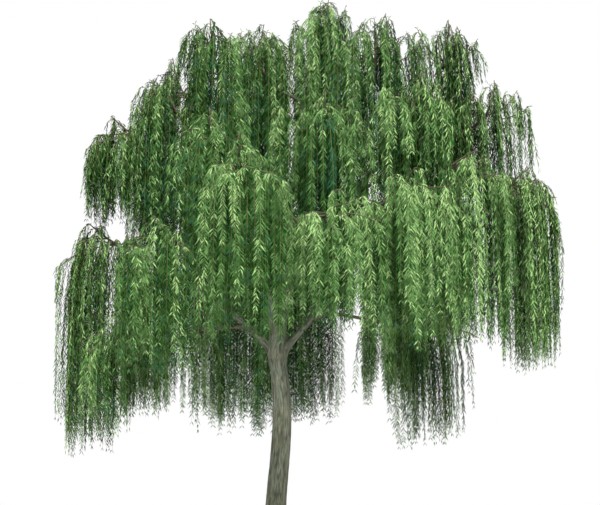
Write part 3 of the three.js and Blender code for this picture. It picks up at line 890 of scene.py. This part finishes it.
def bark_tube(body, sides, bodies, seed, lobes=None, facing=None):
    """A limb's skin: a tube that runs over softly into its parent, with furrows along it."""
    line, radii = body.fine, body.fine_radii
    angles, circle = circles(line, sides, facing)
    scale = np.ones((len(line), sides)) if lobes is None else lobes(line[:, 2][:, None], angles[None])
    normals = circle.reshape(-1, 3)
    spread = (radii[:, None] * scale).ravel()
    middle = np.repeat(line, sides, 0)
    own = np.repeat(radii, sides)
    along = np.repeat(lengths_along(line), sides)
    reach = own * BLEND_REACH * np.clip((along - body.rooted) / own + BLEND_LEAD, 0, 1)
    moved = np.zeros(len(spread))
    nearby = [other for other in bodies if other is not body]
    for _ in range(BLEND_PASSES):
        points = middle + normals * (spread + moved)[:, None]
        others = skin_distance(points, nearby)
        inside = -BLEND * np.log(blend_weight(others) + np.exp(-moved / BLEND))
        moved = np.clip(moved - inside, 0, reach)
    around = np.tile(angles / (2 * np.pi), len(line))
    furrow = bark_relief(around, along, 2 * np.pi * float(np.median(radii)), seed)
    depth = BARK.depth * own * (furrow - BARK.level)
    points = middle + normals * (spread + moved - depth)[:, None]
    points[:, 2] = np.maximum(points[:, 2], 0)
    grain = np.stack([own * np.cos(around * 2 * np.pi), own * np.sin(around * 2 * np.pi), along], -1)
    grain[:, :2] += seed * BARK.shift
    return points, furrow, grain


def bark_piece(name, bodies, all_bodies, sides, material, **shape):
    """One object for the skins of several limbs, with closed ends."""
    vertices, quads, triangles, furrows, grains, base = [], [], [], [], [], 0
    for index, body in enumerate(bodies):
        seed = BARK.seed + BARK.seed_step * index
        points, furrow, grain = bark_tube(body, sides, all_bodies, seed, **shape)
        rings = len(body.fine)
        ends = np.array([points[:sides].mean(0), points[-sides:].mean(0)])
        vertices.append(np.vstack([points, ends]))
        furrows.append(np.append(furrow, [0, 0]))
        grains.append(np.vstack([grain, grain[[0, -1]]]))
        quads.append(ring_quads(rings, sides, base))
        triangles.append(end_fans(rings, sides, base))
        base += rings * sides + 2
    made = mesh_object(name, np.vstack(vertices), np.vstack(quads), np.vstack(triangles), material)
    made.data.shade_smooth()
    depth = made.data.attributes.new("furrow", "FLOAT", "POINT")
    depth.data.foreach_set("value", np.concatenate(furrows).astype(np.float32))
    run = made.data.attributes.new("grain", "FLOAT_VECTOR", "POINT")
    run.data.foreach_set("vector", np.vstack(grains).astype(np.float32).ravel())
    return made


# ---- Leaves ----


def leaves_of(strand, outward, rng):
    """Roots, directions, sizes and rolls of the leaves on a strand, in pairs, and where on it they are."""
    lengths = lengths_along(strand)
    whole = lengths[-1]
    pairs = int((whole - LEAF.bare) / LEAF.spacing)
    if pairs < 1:
        return None
    at = LEAF.bare + (np.arange(pairs) + LEAF.jitter * rng.random_sample(pairs)) * LEAF.spacing
    at = np.minimum(np.stack([at, at + LEAF.stagger], 1), whole)
    at[-1] = whole
    sign = np.tile([1.0, -1.0], (pairs, 1))
    at, sign = at.ravel(), sign.ravel()
    roots = at_length(strand, lengths, at)
    piece = np.clip(np.searchsorted(lengths, at, "right") - 1, 0, len(lengths) - 2)
    tangents = unit(np.diff(strand, axis=0))[piece]
    turn = np.radians(LEAF.turn) * (2 * rng.random_sample(pairs) - 1)
    turn = np.repeat(turn + 0.5 * np.pi + math.atan2(outward[1], outward[0]), 2)
    side = np.stack([np.cos(turn), np.sin(turn), np.zeros_like(turn)], -1) * sign[:, None]
    lean = part_way(np.radians(LEAF.lean), rng.random_sample(len(at)))[:, None]
    flat = np.hypot(tangents[:, 0], tangents[:, 1])[:, None]
    directions = unit(tangents * np.cos(lean) + side * np.sin(lean) - UP * LEAF.hang * flat)
    share = at / whole
    first = 1 - LEAF.small + LEAF.small * np.minimum(share * LEAF.small_part, 1)
    size = (1 - (1 - LEAF.young) * share**3) * first
    size = size * (1 + LEAF.uneven * (2 * rng.random_sample(len(at)) - 1))
    roll = np.radians(LEAF.roll) * (2 * rng.random_sample(len(at)) - 1)
    return SimpleNamespace(roots=roots, directions=directions, size=size, roll=roll, at=at)


def leaf_mesh(leaves):
    """Vertices and triangles of many leaves, each a narrow blade of two halves folded up from its midrib."""
    lengthwise = (leaves.outward * leaves.directions).sum(-1, keepdims=True)
    face = unit(leaves.outward - leaves.directions * lengthwise)
    side = np.cross(leaves.directions, face)
    cos, sin = np.cos(leaves.roll)[:, None], np.sin(leaves.roll)[:, None]
    side, face = side * cos + face * sin, face * cos - side * sin
    length = (LEAF.length * leaves.size)[:, None]
    width = (LEAF.width * np.sqrt(leaves.size))[:, None]
    corners = []
    for along, across in BLADE:
        sag = UP * LEAF.droop * along**2
        fold = side * across + face * abs(across) * LEAF.fold
        corners.append(leaves.roots + (leaves.directions * along - sag) * length + fold * width)
    vertices = np.stack(corners, 1).reshape(-1, 3)
    first = np.arange(len(leaves.roots))[:, None, None] * len(BLADE)
    triangles = (first + np.array(BLADE_FACES)[None]).reshape(-1, 3)
    return vertices, triangles


def deal_tints(growth, leaves, rng):
    """A tint for each leaf, the same along a short length of strand: painted light and shade by place, and a
    random part.
    """
    mass = growth.mass
    below = mass.head[2] - leaves.roots[:, 2]
    off = np.hypot(*(leaves.roots - mass.head)[:, :2].T) / mass.hang
    bit = (leaves.at / SAME_TINT).astype(int)
    shade = rng.random_sample() * LIGHT.strand
    shade = shade + rng.random_sample(bit.max() + 1)[bit] * LIGHT.bit - LIGHT.darker
    # Painted light: sunlight far from the trunk, on the head of the mass and on its outside; painted shade
    # inside it
    painted_sun = np.clip((np.hypot(*leaves.roots[:, :2].T) - SUNNY[0]) / (SUNNY[1] - SUNNY[0]), 0, 1)
    head = LIGHT.head * np.exp(-below / LIGHT.head_depth)
    outside = LIGHT.outside * np.minimum(off, LIGHT.outside_most)
    score = head + outside + LIGHT.painted_sun * painted_sun + shade
    tint = np.select([score > least for least in LIGHTER_THAN], range(len(LIGHTER_THAN)), len(LIGHTER_THAN))
    return tint[np.searchsorted(bit, bit)]


def collect_leaves(growths):
    """All leaves by tier and tint."""
    groups = {}
    for growth in growths:
        rng = np.random.RandomState(LEAF_SEED + growth.mass.seed)
        leafy = [spray[SPRAY.leafy :] for spray in growth.sprays]
        for strand in growth.strands + growth.branchlets + leafy:
            outward = strand[-1] - growth.mass.head * ARCH.splay
            outward[2] = 0
            outward = unit(outward)
            leaves = leaves_of(strand, outward, rng)
            if leaves is None:
                continue
            leaves.outward = np.broadcast_to(outward + UP * LEAF.upward, leaves.roots.shape)
            tint = deal_tints(growth, leaves, rng)
            for index, tint_name in enumerate(LEAF_COLOURS):
                chosen = tint == index
                if chosen.any():
                    group = groups.setdefault((growth.mass.tier, tint_name), [])
                    group.append([getattr(leaves, part)[chosen] for part in LEAF_PARTS])
    return groups


# ---- Materials ----


def feed(tree, node, inputs):
    """Set each input of a node to a value, or link it to another node's output."""
    for socket, value in inputs.items():
        if isinstance(value, bpy.types.NodeSocket):
            tree.links.new(value, node.inputs[socket])
        else:
            node.inputs[socket].default_value = value


def add_node(tree, kind, inputs, **settings):
    """A new node with its settings and inputs."""
    node = tree.nodes.new(kind)
    for setting, value in settings.items():
        setattr(node, setting, value)
    feed(tree, node, inputs)
    return node


def new_material(name):
    """An empty material and its node tree."""
    material = bpy.data.materials.new(name)
    material.use_nodes = True
    return material, material.node_tree


def plain(name, colour, roughness, inputs=()):
    """A material with the same colour all over."""
    material, tree = new_material(name)
    inputs = {"Base Color": (*colour, 1), "Roughness": roughness, **dict(inputs)}
    feed(tree, tree.nodes["Principled BSDF"], inputs)
    return material


def ramp(tree, source, positions, colours):
    """A colour ramp between two stops."""
    node = add_node(tree, "ShaderNodeValToRGB", {"Fac": source})
    for element, position, colour in zip(node.color_ramp.elements, positions, colours):
        element.position = position
        element.color = (*colour, 1)
    return node.outputs["Color"]


def bark_material(name):
    """Bark: colours that run along the grain, darkened as painted shade in the furrows, with warmer patches.
    """
    painted_furrow_shade, low, high, warm = BARK_COLOURS[name]
    scale, bump = BARK_FIBRES[name]
    material, tree = new_material(name)
    grain = add_node(tree, "ShaderNodeAttribute", {}, attribute_name="grain").outputs["Vector"]
    along = add_node(tree, "ShaderNodeMapping", {"Scale": (1, 1, 0.14), "Vector": grain}).outputs["Vector"]
    noise = {"Scale": scale, "Detail": 5, "Roughness": 0.62, "Vector": along}
    fibre = add_node(tree, "ShaderNodeTexNoise", noise).outputs["Fac"]
    noise = {"Scale": 3.2, "Detail": 3, "Vector": grain}
    patch = add_node(tree, "ShaderNodeTexNoise", noise).outputs["Fac"]
    mixed = {
        "Factor": 1,
        "A": ramp(tree, fibre, (0.36, 0.64), (low, high)),
        "B": ramp(tree, patch, (0.42, 0.62), ((1, 1, 1), warm)),
    }
    tinted = add_node(tree, "ShaderNodeMix", mixed, data_type="RGBA", blend_type="MULTIPLY")
    furrow = add_node(tree, "ShaderNodeAttribute", {}, attribute_name="furrow").outputs["Fac"]
    # painted shade: the deeper the furrow, the darker the colour
    span = {"From Min": 0.3, "From Max": 0.95, "To Max": 0.8, "Value": furrow}
    deep = add_node(tree, "ShaderNodeMapRange", span).outputs["Result"]
    mixed = {"Factor": deep, "A": tinted.outputs["Result"], "B": (*painted_furrow_shade, 1)}
    shaded = add_node(tree, "ShaderNodeMix", mixed, data_type="RGBA")
    matt = add_node(tree, "ShaderNodeMapRange", {"To Min": 0.78, "To Max": 0.96, "Value": fibre})
    raised = add_node(tree, "ShaderNodeBump", {"Distance": bump, "Strength": 0.7, "Height": fibre})
    surface = {
        "Base Color": shaded.outputs["Result"],
        "Roughness": matt.outputs["Result"],
        "Normal": raised.outputs["Normal"],
        "Specular IOR Level": 0.25,
    }
    feed(tree, tree.nodes["Principled BSDF"], surface)
    return material


# ---- Pieces ----


def hand_over(piece, slot, *nodes):
    """Let a piece ride on the rooted tree and stand for some of its solids."""
    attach(piece, "root")
    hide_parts(*nodes)


def root_lobes(z, angle):
    """How much the root flare stands out at a height and an angle round the trunk."""
    fade = np.exp(-z / TRUNK.flare_height)
    return 1 + TRUNK.lobe_depth * fade * np.cos(TRUNK.lobes * angle)


def make_wood(trunk, limbs):
    """The trunk, the main limbs and the boughs, each kind one piece of bark with relief."""
    bark, young = bark_material("bark"), bark_material("young_bark")
    line, radii = trunk_line(BARK.trunk_rings)
    trunk.fine, trunk.fine_radii = sink_top(line[: BARK.trunk_rings], radii[: BARK.trunk_rings])
    trunk.rooted = -math.inf
    for limb in limbs:
        give_root(limb, BARK.limb_steps if limb.main else BARK.bough_steps)
    bodies = [trunk, *limbs]
    main = [limb for limb in limbs if limb.main]
    boughs = [limb for limb in limbs if not limb.main]
    stem = bark_piece("trunk_bark", [trunk], bodies, BARK.trunk_sides, bark, lobes=root_lobes, facing=UP)
    hand_over(stem, "bark", "trunk")
    arms = bark_piece("main_limb_bark", main, bodies, BARK.limb_sides, bark)
    hand_over(arms, "bark", *[f"{limb.name}_limb" for limb in main])
    arms = bark_piece("bough_bark", boughs, bodies, BARK.bough_sides, young)
    hand_over(arms, "young_bark", *[f"{limb.name}_bough" for limb in boughs])


def make_twigs(growths):
    """The stems, sprays, branchlets and hanging shoots of all masses, each kind one piece."""
    brown = plain("twig_bark", TWIG_BROWN, TWIG_ROUGHNESS)
    olive = plain("shoot_bark", SHOOT_OLIVE, SHOOT_ROUGHNESS)
    kinds = (
        ("stems", [[growth.stem] for growth in growths], STEM, brown, "young_bark"),
        ("side_stems", [growth.sprays for growth in growths], SPRAY, brown, "young_bark"),
        ("arching_twigs", [growth.branchlets for growth in growths], BRANCHLET, brown, "young_bark"),
        ("hanging_shoots", [growth.strands for growth in growths], STRAND, olive, "foliage"),
    )
    for name, groups, size, material, slot in kinds:
        lines = [line for group in groups for line in group]
        tubes = thin_tubes(lines, size.radius, size.tip, size.sides)
        hand_over(mesh_object(name, *tubes, material), slot)


def make_leaves(growths):
    """Leaves, one piece for each tier and tint, the tints being lit and shaded copies of one leaf colour."""
    materials, shine = {}, {"Specular IOR Level": LEAF_SPECULAR}
    for tint, colour in LEAF_COLOURS.items():
        materials[tint] = plain(f"leaf_{tint}", colour, LEAF_ROUGHNESS, shine)
    for (tier, tint), parts in sorted(collect_leaves(growths).items()):
        whole = map(np.concatenate, zip(*parts))
        vertices, triangles = leaf_mesh(SimpleNamespace(**dict(zip(LEAF_PARTS, whole))))
        piece = mesh_object(f"leaves_{tier}_{tint}", vertices, None, triangles, materials[tint])
        names = [f"{growth.mass.name}_foliage" for growth in growths if growth.mass.tier == tier]
        hand_over(piece, "foliage", *names)


# ---- Studio ----

CAMERA = SimpleNamespace(away=27.0, eye=1.8, across=0.406, aim=4.49, span=9.36, sensor=36, clip=200)
SURROUND = 1.0
LAMP = SimpleNamespace(energy=8.0, width=5, colour=(1, 0.97, 0.9), direction=(-0.12, 0.75, -0.95))
FLOOR = SimpleNamespace(radius=11.5, sides=96, drop=0.001, colour=(0.8, 0.8, 0.78), roughness=0.9)


def make_camera():
    """A long lens at eye height, a little raised to take in the crown."""
    data = bpy.data.cameras.new("camera")
    data.sensor_width = CAMERA.sensor
    data.lens = data.sensor_width * CAMERA.away / CAMERA.span
    data.clip_end = CAMERA.clip
    camera = bpy.data.objects.new("camera", data)
    bpy.context.scene.collection.objects.link(camera)
    camera.location = (0, -CAMERA.away, CAMERA.eye)
    towards = Vector((CAMERA.across, 0, CAMERA.aim)) - camera.location
    camera.rotation_euler = towards.to_track_quat("-Z", "Y").to_euler()
    bpy.context.scene.camera = camera


def make_light():
    """A white surround and one soft lamp from above and a little right of the camera."""
    world = bpy.data.worlds.new("studio")
    world.use_nodes = True
    background = world.node_tree.nodes["Background"]
    background.inputs["Color"].default_value = (1, 1, 1, 1)
    background.inputs["Strength"].default_value = SURROUND
    bpy.context.scene.world = world
    sun = bpy.data.lights.new("key", "SUN")
    sun.energy = LAMP.energy
    sun.angle = math.radians(LAMP.width)
    sun.color = LAMP.colour
    lamp = bpy.data.objects.new("key", sun)
    lamp.rotation_euler = Vector(LAMP.direction).to_track_quat("-Z", "Y").to_euler()
    bpy.context.scene.collection.objects.link(lamp)


def make_floor():
    """A plain pale disc."""
    k = np.arange(FLOOR.sides)
    angles = np.linspace(0, 2 * np.pi, FLOOR.sides + 1)[:-1]
    height = np.full(FLOOR.sides, -FLOOR.drop)
    rim = np.stack([FLOOR.radius * np.cos(angles), FLOOR.radius * np.sin(angles), height], -1)
    vertices = np.vstack([rim, [(0, 0, -FLOOR.drop)]])
    triangles = np.stack([np.full(FLOOR.sides, FLOOR.sides), k, (k + 1) % FLOOR.sides], -1)
    pale = plain("floor", FLOOR.colour, FLOOR.roughness)
    floor = mesh_object("floor", vertices, None, triangles, pale)


def build_scene():
    """Everything: the wood, twigs and leaves, the camera, the light and the floor."""
    masses = [plan_mass(row, index) for index, row in enumerate(MASSES)]
    trunk, limbs = grow_limbs(masses)
    bodies = [trunk, *limbs]
    growths = [grow_mass(limb.mass, limb, masses, bodies) for limb in limbs]
    make_wood(trunk, limbs)
    make_twigs(growths)
    make_leaves(growths)
    make_camera()
    make_light()
    make_floor()
    bpy.context.scene.view_settings.view_transform = "Standard"
    bpy.context.view_layer.update()


build_scene()
